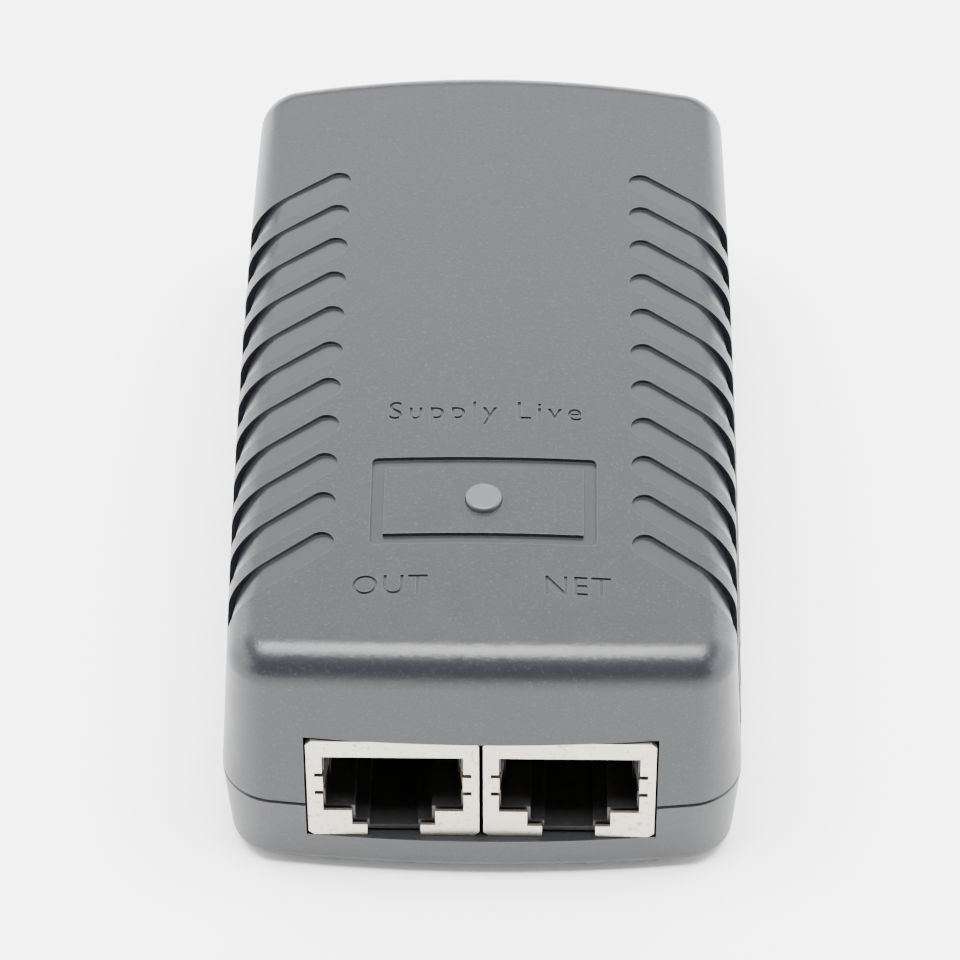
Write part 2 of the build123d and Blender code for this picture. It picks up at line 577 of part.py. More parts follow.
with BuildPart() as mains_inlet:
    inlet_z = (INLET_BOTTOM, INLET_BOTTOM + INLET_HEIGHT)
    add(box((-INLET_WIDTH / 2, INLET_WIDTH / 2), (INLET_REAR, INLET_MOUTH), inlet_z))
    flange_x = INLET_WIDTH / 2 + INLET_FLANGE
    flange_lean = (INLET_BOTTOM + INLET_HEIGHT + INLET_FLANGE - PARTING) * tan(radians(UPPER_DRAFT))
    collar_y = end_face_y(flange_x) - WALL - flange_lean - INLET_FLANGE_THICKNESS
    add(
        box(
            (-flange_x, flange_x),
            (collar_y - FIT, collar_y - FIT + INLET_FLANGE_THICKNESS),
            (INLET_BOTTOM - INLET_FLANGE, INLET_BOTTOM + INLET_HEIGHT + INLET_FLANGE),
        )
    )
    with BuildSketch(Plane.XZ.offset(-INLET_MOUTH)):
        with Locations((0, INLET_MIDDLE)):
            cavity = Rectangle(INLET_CAVITY_WIDTH, INLET_CAVITY_HEIGHT)
        chamfer(cavity.vertices().group_by(Axis.Y)[-1], INLET_CAVITY_CORNER)
    extrude(amount=INLET_CAVITY_DEPTH, mode=Mode.SUBTRACT)
    for x, z in PIN_PLACES:
        half_x, half_z = PIN_WIDTH / 2 + FIT / 2, PIN_HEIGHT / 2 + FIT / 2
        pin_way = box((x - half_x, x + half_x), (INLET_REAR - 1, INLET_MOUTH), (z - half_z, z + half_z))
        add(pin_way, mode=Mode.SUBTRACT)
mains_inlet.part.label = "mains_inlet"

with BuildPart() as mains_pins:
    tail_y = BOARD_REAR_Y - 1.8
    for x, z in PIN_PLACES:
        blade_y = (INLET_REAR - 0.6, INLET_MOUTH - PIN_SETBACK)
        half = PIN_TAIL / 2
        add(box((x - PIN_WIDTH / 2, x + PIN_WIDTH / 2), blade_y, (z - PIN_HEIGHT / 2, z + PIN_HEIGHT / 2)))
        add(box((x - half, x + half), (tail_y - half, INLET_REAR), (z - half, z + half)))
        add(box((x - half, x + half), (tail_y - half, tail_y + half), (TAIL_END, z + half)))
    chamfer(mains_pins.faces().group_by(Axis.Y)[-1].edges(), 0.6)
mains_pins.part.label = "mains_pins"

# ---- Board and its screws ----
with BuildPart() as circuit_board:
    front = PORT_FACE + 0.9 + WALL
    with BuildSketch(Plane.XY.offset(BOARD_BOTTOM)):
        with Locations((0, (front + BOARD_REAR_Y) / 2)):
            Rectangle(2 * BOARD_HALF_WIDTH, BOARD_REAR_Y - front)
        for sign in (-1, 1):
            with Locations((sign * BOARD_HALF_WIDTH, front)):
                Rectangle(2 * BOARD_CORNER_CUT[0] - 2, 2 * BOARD_CORNER_CUT[1] - 4, mode=Mode.SUBTRACT)
        with Locations(*BOARD_SCREWS):
            Circle(BOARD_SCREW_RADIUS + FIT, mode=Mode.SUBTRACT)
        lead_y = PORT_FACE + PORT_LENGTH - 1.0 - CONTACT_WIRE / 2
        leg_y = PORT_FACE + PORT_LENGTH - 5.2
        for x in (-PORT_X, PORT_X):
            with Locations(*[(wire_x, lead_y) for wire_x in contact_x(x)]):
                Circle(CONTACT_WIRE * 0.9, mode=Mode.SUBTRACT)
            for sign in (-1, 1):
                with Locations((x + sign * (PORT_WIDTH - SHIELD_SHEET) / 2, leg_y)):
                    Rectangle(SHIELD_SHEET + 2 * FIT, 1.6 + 4 * FIT, mode=Mode.SUBTRACT)
        with Locations(*[(x, BOARD_REAR_Y - 1.8) for x, _ in PIN_PLACES]):
            Circle(PIN_TAIL * 0.85, mode=Mode.SUBTRACT)
    extrude(amount=BOARD_THICKNESS)
circuit_board.part.label = "circuit_board"

with BuildPart() as board_screws:
    radius, height = BOARD_SCREW_HEAD
    for x, y in BOARD_SCREWS:
        add(cylinder(x, y, radius, (BOARD_TOP, BOARD_TOP + height)))
        add(cylinder(x, y, BOARD_SCREW_RADIUS, (UNDERSIDE + FLOOR / 2 + FIT, BOARD_TOP)))
        for turn in (0, 90):
            slot = Box(0.5, 2.2, 1.2, mode=Mode.PRIVATE).rotate(Axis.Z, turn)
            add(Pos(x, y, BOARD_TOP + height) * slot, mode=Mode.SUBTRACT)
board_screws.part.label = "board_screws"

with BuildPart() as insulation_sheet:
    sheet_y = (PORT_FACE + PORT_LENGTH + 1, BOARD_REAR_Y - 3)
    add(box((-15.4, 15.4), sheet_y, (INNER_FLOOR, INNER_FLOOR + SHEET_THICKNESS)))
insulation_sheet.part.label = "insulation_sheet"


# ---- Power supply components, standing on the board ----
def standing_disc(x, y, radius, thickness, lead):
    """Round disc component on edge, its faces towards +Y and -Y, on two leads."""
    middle = BOARD_TOP + lead + radius
    with BuildPart(mode=Mode.PRIVATE) as disc:
        add(Pos(x, y, middle) * Cylinder(radius, thickness, rotation=(90, 0, 0), mode=Mode.PRIVATE))
        fillet(disc.edges().filter_by(GeomType.CIRCLE), thickness / 3)
        for sign in (-1, 1):
            add(cylinder(x + sign * radius / 2, y, 0.35, (BOARD_TOP, middle - radius * 0.6)))
    return disc.part


def can_capacitor(x, y, radius, height):
    """Upright electrolytic can with a rolled groove near its base."""
    with BuildPart(mode=Mode.PRIVATE) as can:
        add(cylinder(x, y, radius, (BOARD_TOP, BOARD_TOP + height)))
        fillet(can.edges().filter_by(GeomType.CIRCLE), 0.5)
        groove = cylinder(x, y, radius + 1, (BOARD_TOP + 1.8, BOARD_TOP + 2.4))
        groove -= cylinder(x, y, radius - 0.35, (BOARD_TOP + 1.8, BOARD_TOP + 2.4))
        add(groove, mode=Mode.SUBTRACT)
    return can.part


def transistor(x, y, z_low, width, thickness, height, turned):
    """Tab-mounted power device: moulded body and metal tab in one outline."""
    across, deep = (thickness, width) if turned else (width, thickness)
    with BuildPart(mode=Mode.PRIVATE) as device:
        add(Pos(x, y, z_low + height / 2) * Box(across, deep, height, mode=Mode.PRIVATE))
        lead_gap = width / 3.8
        for step in (-1, 0, 1):
            shift = (0, step * lead_gap) if turned else (step * lead_gap, 0)
            add(cylinder(x + shift[0], y + shift[1], 0.45, (BOARD_TOP, z_low)))
    return device.part


SMALL = 0.4
HEATSINK = 1.4
HEATSINK_TOP = 24.0

with BuildPart() as fuse:
    add(cylinder(-17.0, 13.4, 4.0, (BOARD_TOP, BOARD_TOP + 8)))
    fillet(fuse.edges().filter_by(GeomType.CIRCLE), SMALL)
fuse.part.label = "fuse"

with BuildPart() as varistor:
    add(standing_disc(3.0, 12.4, 4.5, 3.6, 2.0))
varistor.part.label = "varistor"

with BuildPart() as inrush_thermistor:
    add(standing_disc(10.5, 19.2, 3.8, 3.0, 2.0))
inrush_thermistor.part.label = "inrush_thermistor"

with BuildPart() as x_capacitor:
    add(box((8.6, 20.6), (10.2, 16.4), (BOARD_TOP, BOARD_TOP + 12)))
    fillet(x_capacitor.edges().filter_by(Axis.Z), SMALL)
x_capacitor.part.label = "x_capacitor"

CHOKE_PLACE = (-6.4, 12.6, BOARD_TOP + 8.6)
CHOKE_RING = 5.0
CHOKE_CORE = 1.9
CHOKE_WINDING = 2.7

with BuildPart() as choke_core:
    add(Pos(*CHOKE_PLACE) * Torus(CHOKE_RING, CHOKE_CORE, rotation=(0, 90, 0), mode=Mode.PRIVATE))
choke_core.part.label = "choke_core"

with BuildPart() as choke_windings:
    for start in (30, 210):
        with BuildSketch(Plane.XZ):
            with Locations((CHOKE_RING, 0)):
                Circle(CHOKE_WINDING)
                Circle(CHOKE_CORE + 0.02, mode=Mode.SUBTRACT)
        sector = revolve(axis=Axis.Z, revolution_arc=120, mode=Mode.PRIVATE)
        add(Pos(*CHOKE_PLACE) * sector.rotate(Axis.Z, start).rotate(Axis.Y, 90))
choke_windings.part.label = "choke_windings"

with BuildPart() as bridge_rectifier:
    add(box((-20.2, -13.9), (0.7, 8.9), (BOARD_TOP + 0.6, BOARD_TOP + 4.0)))
    chamfer(bridge_rectifier.edges().filter_by(Axis.Z), SMALL)
    for x in (-19.2, -14.9):
        for y in (2.3, 7.3):
            add(cylinder(x, y, 0.4, (BOARD_TOP, BOARD_TOP + 0.6)))
bridge_rectifier.part.label = "bridge_rectifier"

with BuildPart() as bulk_capacitor:
    radius = 8.0
    add(Pos(12.8, -2.6, BOARD_TOP + radius) * Cylinder(radius, 23.0, rotation=(90, 0, 0), mode=Mode.PRIVATE))
    fillet(bulk_capacitor.edges().filter_by(GeomType.CIRCLE), 2 * SMALL)
bulk_capacitor.part.label = "bulk_capacitor"

TRANSFORMER_PLACE = (-5.8, -3.0)
CORE_SIZE = (19.0, 6.5, 19.0)
CORE_BASE = BOARD_TOP + 2.0
CORE_LEG = 5.2
CORE_YOKE = 2.7

with BuildPart() as transformer_core:
    x, y = TRANSFORMER_PLACE
    middle = CORE_BASE + CORE_SIZE[2] / 2
    add(Pos(x, y, middle) * Box(*CORE_SIZE, mode=Mode.PRIVATE))
    window = (CORE_SIZE[0] - CORE_LEG) / 2 - CORE_YOKE
    for sign in (-1, 1):
        window_x = x + sign * (CORE_LEG + window) / 2
        opening = Box(window, CORE_SIZE[1] + 1, CORE_SIZE[2] - 2 * CORE_YOKE, mode=Mode.PRIVATE)
        add(Pos(window_x, y, middle) * opening, mode=Mode.SUBTRACT)
transformer_core.part.label = "transformer_core"

with BuildPart() as transformer_bobbin:
    leg = (CORE_LEG + 2 * FIT, CORE_SIZE[1] + 2 * FIT)
    high = CORE_SIZE[2] - 2 * CORE_YOKE - 2 * FIT
    add(Pos(x, y, middle) * Box(leg[0] + 1.4, leg[1] + 1.4, high, mode=Mode.PRIVATE))
    for end in (-1, 1):
        flange_z = middle + end * (high / 2 - 0.4)
        add(Pos(x, y, flange_z) * Box(CORE_SIZE[0] - 2 * CORE_YOKE - 2 * FIT, 14.0, 0.8, mode=Mode.PRIVATE))
    add(Pos(x, y, middle) * Box(*leg, high + 1, mode=Mode.PRIVATE), mode=Mode.SUBTRACT)
    foot_z = middle - high / 2
    for sign in (-1, 1):
        foot_y = y + sign * (CORE_SIZE[1] / 2 + 2.0)
        add(box((x - 6.5, x + 6.5), (foot_y - 1.6, foot_y + 1.6), (BOARD_TOP, foot_z + 0.8)))
transformer_bobbin.part.label = "transformer_bobbin"

with BuildPart() as transformer_winding:
    reach = (CORE_SIZE[0] - 2 * CORE_YOKE - 4 * FIT, 13.4)
    tall = high - 1.6 - 2 * FIT
    add(Pos(x, y, middle) * Box(*reach, tall, mode=Mode.PRIVATE))
    fillet(transformer_winding.edges().filter_by(Axis.Z), 2.5)
    sleeve_hole = Box(leg[0] + 1.4 + FIT, leg[1] + 1.4 + FIT, tall + 1, mode=Mode.PRIVATE)
    add(Pos(x, y, middle) * sleeve_hole, mode=Mode.SUBTRACT)
transformer_winding.part.label = "transformer_winding"

with BuildPart() as primary_heatsink:
    add(box((-20.9, -20.9 + HEATSINK), (-17.4, -6.4), (BOARD_TOP, HEATSINK_TOP)))
primary_heatsink.part.label = "primary_heatsink"

with BuildPart() as switching_transistor:
    add(transistor(-19.5 + 2.2, -12.6, BOARD_TOP + 2.6, 9.6, 4.4, 14.6, True))
switching_transistor.part.label = "switching_transistor"

with BuildPart() as controller_chip:
    add(box((-20.6, -16.6), (-5.8, -1.4), (BOARD_TOP + 0.1, BOARD_TOP + 1.6)))
    for y in (-5.2, -4.2, -3.0, -2.0):
        add(box((-21.1, -16.1), (y - 0.2, y + 0.2), (BOARD_TOP, BOARD_TOP + 0.5)))
controller_chip.part.label = "controller_chip"

with BuildPart() as secondary_heatsink:
    add(box((-14.4, -2.6), (-12.6, -12.6 + HEATSINK), (BOARD_TOP, HEATSINK_TOP)))
secondary_heatsink.part.label = "secondary_heatsink"

with BuildPart() as output_diode:
    add(transistor(-8.5, -12.6 - 2.2, BOARD_TOP + 2.6, 9.6, 4.4, 14.6, False))
output_diode.part.label = "output_diode"

with BuildPart() as y_capacitor:
    add(standing_disc(1.4, -14.6, 3.2, 2.8, 2.5))
y_capacitor.part.label = "y_capacitor"

with BuildPart() as optocoupler:
    add(box((-20.2, -13.9), (-23.6, -19.2), (BOARD_TOP + 0.5, BOARD_TOP + 4.0)))
    chamfer(optocoupler.edges().filter_by(Axis.Z), SMALL / 2)
    for x in (-19.8, -14.3):
        for y in (-22.6, -20.2):
            add(cylinder(x, y, 0.35, (BOARD_TOP, BOARD_TOP + 0.5)))
optocoupler.part.label = "optocoupler"

with BuildPart() as output_inductor:
    x, y = -7.6, -21.0
    add(cylinder(x, y, 3.6, (BOARD_TOP, BOARD_TOP + 9)))
    waist_z = (BOARD_TOP + 1.5, BOARD_TOP + 7.5)
    waist = cylinder(x, y, 4.6, waist_z) - cylinder(x, y, 3.0, waist_z)
    add(waist, mode=Mode.SUBTRACT)
output_inductor.part.label = "output_inductor"

with BuildPart() as output_capacitors:
    for x in (7.9, 16.8):
        add(can_capacitor(x, -20.2, 4.0, 16.0))
output_capacitors.part.label = "output_capacitors"

with BuildPart() as status_led:
    add(cylinder(0, WINDOW_Y, 1.9, (BOARD_TOP, BOARD_TOP + 1.0)))
    add(cylinder(0, WINDOW_Y, 1.5, (BOARD_TOP + 1.0, BOARD_TOP + 4.0)))
    add(Pos(0, WINDOW_Y, BOARD_TOP + 4.0) * Sphere(1.5, mode=Mode.PRIVATE))
status_led.part.label = "status_led"

# ---- Files ----
pieces = [
    top_shell, bottom_shell, led_lens, case_screws, rubber_feet, rating_label, *ports.values(), mains_inlet,
    mains_pins, circuit_board, board_screws, insulation_sheet, fuse, varistor, inrush_thermistor, x_capacitor,
    choke_core, choke_windings, bridge_rectifier, bulk_capacitor, transformer_core, transformer_bobbin,
    transformer_winding, primary_heatsink, switching_transistor, controller_chip, secondary_heatsink,
    output_diode, y_capacitor, optocoupler, output_inductor, output_capacitors, status_led,
]
os.makedirs("parts", exist_ok=True)
for piece in pieces:
    export_step(piece.part, f"parts/{piece.part.label}.step")
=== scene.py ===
"""Looks of a PoE injector: a finish for every piece of the frame, engraved captions and a small studio."""

import json
import logging
import math
from dataclasses import dataclass, field
from enum import Enum

import bpy
from mathutils import Matrix, Vector


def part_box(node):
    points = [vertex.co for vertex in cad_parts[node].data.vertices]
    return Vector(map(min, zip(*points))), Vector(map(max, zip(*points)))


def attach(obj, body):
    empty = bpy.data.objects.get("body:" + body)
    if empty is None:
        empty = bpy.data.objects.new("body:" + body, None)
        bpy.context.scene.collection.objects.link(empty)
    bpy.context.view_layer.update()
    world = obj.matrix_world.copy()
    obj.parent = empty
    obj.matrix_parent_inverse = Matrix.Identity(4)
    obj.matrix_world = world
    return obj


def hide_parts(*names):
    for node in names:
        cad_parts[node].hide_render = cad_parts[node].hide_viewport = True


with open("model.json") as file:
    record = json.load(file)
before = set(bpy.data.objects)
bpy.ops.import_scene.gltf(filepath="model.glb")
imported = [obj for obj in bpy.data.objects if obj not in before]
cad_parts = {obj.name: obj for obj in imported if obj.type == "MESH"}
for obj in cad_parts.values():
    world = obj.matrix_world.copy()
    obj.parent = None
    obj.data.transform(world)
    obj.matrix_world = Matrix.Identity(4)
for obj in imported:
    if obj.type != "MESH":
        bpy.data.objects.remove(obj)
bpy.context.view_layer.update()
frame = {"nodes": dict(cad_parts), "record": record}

MM = 0.001
ROOT_BODY = "injector"

log = logging.getLogger("injector")

Colour = tuple[float, float, float]
Point = tuple[float, float, float]


# ---- Shared node groups ----
class Group(Enum):
    """Names of the node groups that several finishes share."""

    GRAIN = "moulded grain and painted highlight"
    WEAR = "edge wear"
    DUST = "settled dust"
    SPECKLE = "plating speckle"


def start_group(name: Group, inputs: dict[str, float], outputs: dict[str, str]) -> bpy.types.NodeTree:
    """Make an empty shader group.

    Args:
        name: The group's name.
        inputs: Each float input and its default.
        outputs: Each output and its socket type.

    Returns:
        The node tree, with its input and output nodes in place.
    """
    tree = bpy.data.node_groups.new(name.value, "ShaderNodeTree")
    for label, default in inputs.items():
        socket = tree.interface.new_socket(label, in_out="INPUT", socket_type="NodeSocketFloat")
        socket.default_value = default
    for label, kind in outputs.items():
        tree.interface.new_socket(label, in_out="OUTPUT", socket_type=kind)
    tree.nodes.new("NodeGroupInput").name = "in"
    tree.nodes.new("NodeGroupOutput").name = "out"
    return tree


def add_node(tree: bpy.types.NodeTree, kind: str, **settings: object) -> bpy.types.Node:
    """Add a node and set its properties.

    Args:
        tree: The tree that gets the node.
        kind: The node's type.
        settings: Property names and values.

    Returns:
        The new node.
    """
    node = tree.nodes.new(kind)
    for key, value in settings.items():
        setattr(node, key, value)
    return node


def math_node(
    tree: bpy.types.NodeTree, operation: str, first: object, second: object
) -> bpy.types.NodeSocket:
    """Add a Math node on two values or sockets.

    Args:
        tree: The tree that gets the node.
        operation: The Math operation.
        first: A number or a socket.
        second: A number or a socket.

    Returns:
        The result's socket.
    """
    node = add_node(tree, "ShaderNodeMath", operation=operation)
    for socket, value in zip(node.inputs, (first, second)):
        if isinstance(value, (int, float)):
            socket.default_value = value
        else:
            tree.links.new(value, socket)
    return node.outputs[0]


def noise_node(
    tree: bpy.types.NodeTree, scale: object, detail: float, roughness: float = 0.55
) -> bpy.types.NodeSocket:
    """Add a noise on Object coordinates.

    Args:
        tree: The tree that gets the node.
        scale: Cells per metre, a number or a socket.
        detail: Octaves of finer noise.
        roughness: How strong the finer octaves are.

    Returns:
        The noise's factor.
    """
    place = add_node(tree, "ShaderNodeTexCoord")
    noise = add_node(tree, "ShaderNodeTexNoise")
    tree.links.new(place.outputs["Object"], noise.inputs["Vector"])
    if isinstance(scale, (int, float)):
        noise.inputs["Scale"].default_value = scale
    else:
        tree.links.new(scale, noise.inputs["Scale"])
    noise.inputs["Detail"].default_value = detail
    noise.inputs["Roughness"].default_value = roughness
    return noise.outputs["Fac"]


def grain_group() -> bpy.types.NodeTree:
    """Build the spark-eroded mould texture: rounded bumps with a few deeper pits, and a mask for painted
    highlights.

    Returns:
        A group that puts out a height and a mask of the brightest grains, where a painted highlight goes.
    """
    tree = start_group(
        Group.GRAIN, {"Scale": 1600.0}, {"Height": "NodeSocketFloat", "PaintedGlint": "NodeSocketFloat"}
    )
    scale = tree.nodes["in"].outputs["Scale"]
    fine = noise_node(tree, scale, 3.0, 0.6)
    coarse = noise_node(tree, math_node(tree, "MULTIPLY", scale, 0.35), 2.0)
    height = math_node(tree, "ADD", fine, math_node(tree, "MULTIPLY", coarse, 0.8))
    tree.links.new(height, tree.nodes["out"].inputs["Height"])
    # Painted highlight: the brightest grains of the fine noise make the mask for a lighter colour that
    # stands in for light catching them.
    painted_glint = add_node(tree, "ShaderNodeMapRange")
    tree.links.new(fine, painted_glint.inputs["Value"])
    painted_glint.inputs["From Min"].default_value = 0.56
    painted_glint.inputs["From Max"].default_value = 0.74
    tree.links.new(painted_glint.outputs["Result"], tree.nodes["out"].inputs["PaintedGlint"])
    return tree


def wear_group() -> bpy.types.NodeTree:
    """Build the edge wear mask: where a rounded normal leaves the true one, broken up by noise.

    Returns:
        A group with a width in metres and a mask.
    """
    tree = start_group(Group.WEAR, {"Width": 0.0003}, {"Mask": "NodeSocketFloat"})
    bevel = add_node(tree, "ShaderNodeBevel", samples=4)
    tree.links.new(tree.nodes["in"].outputs["Width"], bevel.inputs["Radius"])
    surface = add_node(tree, "ShaderNodeNewGeometry")
    dot = add_node(tree, "ShaderNodeVectorMath", operation="DOT_PRODUCT")
    tree.links.new(bevel.outputs["Normal"], dot.inputs[0])
    tree.links.new(surface.outputs["Normal"], dot.inputs[1])
    turn = math_node(tree, "SUBTRACT", 1.0, dot.outputs["Value"])
    broken = math_node(tree, "MULTIPLY", turn, noise_node(tree, 900.0, 3.0))
    mask = add_node(tree, "ShaderNodeMapRange")
    tree.links.new(broken, mask.inputs["Value"])
    mask.inputs["From Min"].default_value = 0.01
    mask.inputs["From Max"].default_value = 0.12
    tree.links.new(mask.outputs["Result"], tree.nodes["out"].inputs["Mask"])
    return tree


def dust_group() -> bpy.types.NodeTree:
    """Build the dust mask: sparse specks on faces that look up.

    Returns:
        A group with an amount and a mask.
    """
    tree = start_group(Group.DUST, {"Amount": 0.3}, {"Mask": "NodeSocketFloat"})
    surface = add_node(tree, "ShaderNodeNewGeometry")
    parts = add_node(tree, "ShaderNodeSeparateXYZ")
    tree.links.new(surface.outputs["Normal"], parts.inputs[0])
    specks = add_node(tree, "ShaderNodeMapRange")
    tree.links.new(noise_node(tree, 520.0, 5.0, 0.7), specks.inputs["Value"])
    specks.inputs["From Min"].default_value = 0.66
    specks.inputs["From Max"].default_value = 0.8
    upward = math_node(tree, "MAXIMUM", parts.outputs["Z"], 0.0)
    mask = math_node(tree, "MULTIPLY", upward, specks.outputs["Result"])
    scaled = math_node(tree, "MULTIPLY", mask, tree.nodes["in"].outputs["Amount"])
    tree.links.new(scaled, tree.nodes["out"].inputs["Mask"])
    return tree


def speckle_group() -> bpy.types.NodeTree:
    """Build the plated metal's pits and faint cloudiness.

    Returns:
        A group that puts out a height and a mask of small dark pits.
    """
    tree = start_group(
        Group.SPECKLE, {"Scale": 2200.0}, {"Height": "NodeSocketFloat", "Pits": "NodeSocketFloat"}
    )
    scale = tree.nodes["in"].outputs["Scale"]
    fine = noise_node(tree, scale, 2.0)
    cloud = noise_node(tree, math_node(tree, "MULTIPLY", scale, 0.12), 3.0)
    height = math_node(tree, "ADD", fine, math_node(tree, "MULTIPLY", cloud, 0.6))
    tree.links.new(height, tree.nodes["out"].inputs["Height"])
    pits = add_node(tree, "ShaderNodeMapRange")
    tree.links.new(fine, pits.inputs["Value"])
    pits.inputs["From Min"].default_value = 0.6
    pits.inputs["From Max"].default_value = 0.72
    tree.links.new(pits.outputs["Result"], tree.nodes["out"].inputs["Pits"])
    return tree


GROUPS: dict[Group, bpy.types.NodeTree] = {}


def place_group(tree: bpy.types.NodeTree, name: Group, **values: float) -> bpy.types.Node:
    """Place a shared group in a material.

    Args:
        tree: The material's node tree.
        name: Which group.
        values: The group's inputs for this material.

    Returns:
        The group node.
    """
    node = add_node(tree, "ShaderNodeGroup", node_tree=GROUPS[name])
    for key, value in values.items():
        node.inputs[key].default_value = value
    return node


def blend_colour(
    tree: bpy.types.NodeTree, mask: bpy.types.NodeSocket, base: object, over: Colour
) -> bpy.types.NodeSocket:
    """Mix one colour over another by a mask.

    Args:
        tree: The material's node tree.
        mask: Where the second colour shows.
        base: The first colour, as numbers or a socket.
        over: The second colour.

    Returns:
        The mixed colour's socket.
    """
    mix = add_node(tree, "ShaderNodeMix", data_type="RGBA")
    tree.links.new(mask, mix.inputs["Factor"])
    if isinstance(base, tuple):
        mix.inputs[6].default_value = (*base, 1.0)
    else:
        tree.links.new(base, mix.inputs[6])
    mix.inputs[7].default_value = (*over, 1.0)
    return mix.outputs[2]


def map_value(
    tree: bpy.types.NodeTree, value: bpy.types.NodeSocket, low: float, high: float
) -> bpy.types.NodeSocket:
    """Spread a 0 to 1 value between two numbers.

    Args:
        tree: The material's node tree.
        value: The 0 to 1 value.
        low: What 0 becomes.
        high: What 1 becomes.

    Returns:
        The mapped value's socket.
    """
    spread = add_node(tree, "ShaderNodeMapRange")
    tree.links.new(value, spread.inputs["Value"])
    spread.inputs["To Min"].default_value = low
    spread.inputs["To Max"].default_value = high
    return spread.outputs["Result"]


# ---- Finishes ----
@dataclass(frozen=True)
class Finish:
    """A finish with the parts that every material here has: a shader, a bump and an output.

    Attributes:
        name: The material's name.
        colour: The base colour, linear.
        roughness: The shader's roughness.
    """

    name: str
    colour: Colour
    roughness: float = 0.5

    def start(self) -> tuple[bpy.types.Material, bpy.types.NodeTree, bpy.types.Node]:
        """Make the material with its shader.

        Returns:
            The material, its tree and its Principled BSDF.
        """
        material = bpy.data.materials.new(self.name)
        material.use_nodes = True
        tree = material.node_tree
        shader = tree.nodes["Principled BSDF"]
        shader.inputs["Base Color"].default_value = (*self.colour, 1.0)
        shader.inputs["Roughness"].default_value = self.roughness
        return material, tree, shader

    def bump(
        self, tree: bpy.types.NodeTree, shader: bpy.types.Node, height: bpy.types.NodeSocket, depth: float
    ) -> None:
        """Lead a height into the shader's normal.

        Args:
            tree: The material's node tree.
            shader: Its Principled BSDF.
            height: The height's socket, 0 to about 1.
            depth: The relief in metres for a height of 1.
        """
        bump = add_node(tree, "ShaderNodeBump")
        bump.inputs["Strength"].default_value = 1.0
        bump.inputs["Distance"].default_value = depth
        tree.links.new(height, bump.inputs["Height"])
        tree.links.new(bump.outputs["Normal"], shader.inputs["Normal"])

    def build(self) -> bpy.types.Material:
        """Build the material; each kind of finish has its own."""
        raise NotImplementedError


@dataclass(frozen=True)
class MouldedPlastic(Finish):
    """Injection moulded plastic with an eroded texture, painted glints, wear and dust.

    Attributes:
        grain_scale: Grains per metre.
        grain_depth: Relief of the texture in metres.
        painted_glint: Colour of the grains that get a painted highlight, standing in for light catching
            them.
        worn: Colour where edges are rubbed.
        dust: Share of dust on faces that look up.
        specular: The shader's specular level.
    """

    grain_scale: float = 3600.0
    grain_depth: float = 0.000016
    painted_glint: Colour = (0.024, 0.026, 0.031)
    worn: Colour = (0.03, 0.03, 0.033)
    dust: float = 0.05
    specular: float = 0.4

    def build(self) -> bpy.types.Material:
        """Build the material.

        Returns:
            The material.
        """
        material, tree, shader = self.start()
        shader.inputs["Specular IOR Level"].default_value = self.specular
        grain = place_group(tree, Group.GRAIN, Scale=self.grain_scale)
        # Painted highlight: the brightest grains take a lighter colour that stands in for light glinting
        # off the texture.
        tint = blend_colour(tree, grain.outputs["PaintedGlint"], self.colour, self.painted_glint)
        wear = place_group(tree, Group.WEAR, Width=0.00025)
        rubbed = blend_colour(tree, wear.outputs["Mask"], tint, self.worn)
        dust = place_group(tree, Group.DUST, Amount=self.dust)
        dusty = blend_colour(tree, dust.outputs["Mask"], rubbed, (0.3, 0.3, 0.29))
        tree.links.new(dusty, shader.inputs["Base Color"])
        rough = map_value(tree, noise_node(tree, 240.0, 4.0), self.roughness - 0.05, self.roughness + 0.05)
        tree.links.new(rough, shader.inputs["Roughness"])
        self.bump(tree, shader, grain.outputs["Height"], self.grain_depth)
        return material


@dataclass(frozen=True)
class PlatedMetal(Finish):
    """Plated or bare metal with pits, cloudiness and rubbed edges.

    Attributes:
        pit: Colour in the pits.
        pit_depth: Relief in metres.
        scale: Pits per metre.
    """

    pit: Colour = (0.3, 0.28, 0.24)
    pit_depth: float = 0.000003
    scale: float = 2200.0

    def build(self) -> bpy.types.Material:
        """Build the material.

        Returns:
            The material.
        """
        material, tree, shader = self.start()
        shader.inputs["Metallic"].default_value = 1.0
        speckle = place_group(tree, Group.SPECKLE, Scale=self.scale)
        tint = blend_colour(tree, speckle.outputs["Pits"], self.colour, self.pit)
        wear = place_group(tree, Group.WEAR, Width=0.00015)
        bright = tuple(min(1.0, channel * 1.15) for channel in self.colour)
        tree.links.new(blend_colour(tree, wear.outputs["Mask"], tint, bright), shader.inputs["Base Color"])
        rough = map_value(tree, noise_node(tree, 500.0, 3.0), self.roughness - 0.06, self.roughness + 0.08)
        tree.links.new(rough, shader.inputs["Roughness"])
        self.bump(tree, shader, speckle.outputs["Height"], self.pit_depth)
        return material


@dataclass(frozen=True)
class Rubber(Finish):
    """Soft matt rubber with scuffs."""

    def build(self) -> bpy.types.Material:
        """Build the material.

        Returns:
            The material.
        """
        material, tree, shader = self.start()
        scuff = map_value(tree, noise_node(tree, 700.0, 5.0, 0.7), 0.0, 1.0)
        lighter = tuple(channel * 2.2 for channel in self.colour)
        tree.links.new(blend_colour(tree, scuff, self.colour, lighter), shader.inputs["Base Color"])
        self.bump(tree, shader, scuff, 0.00002)
        return material


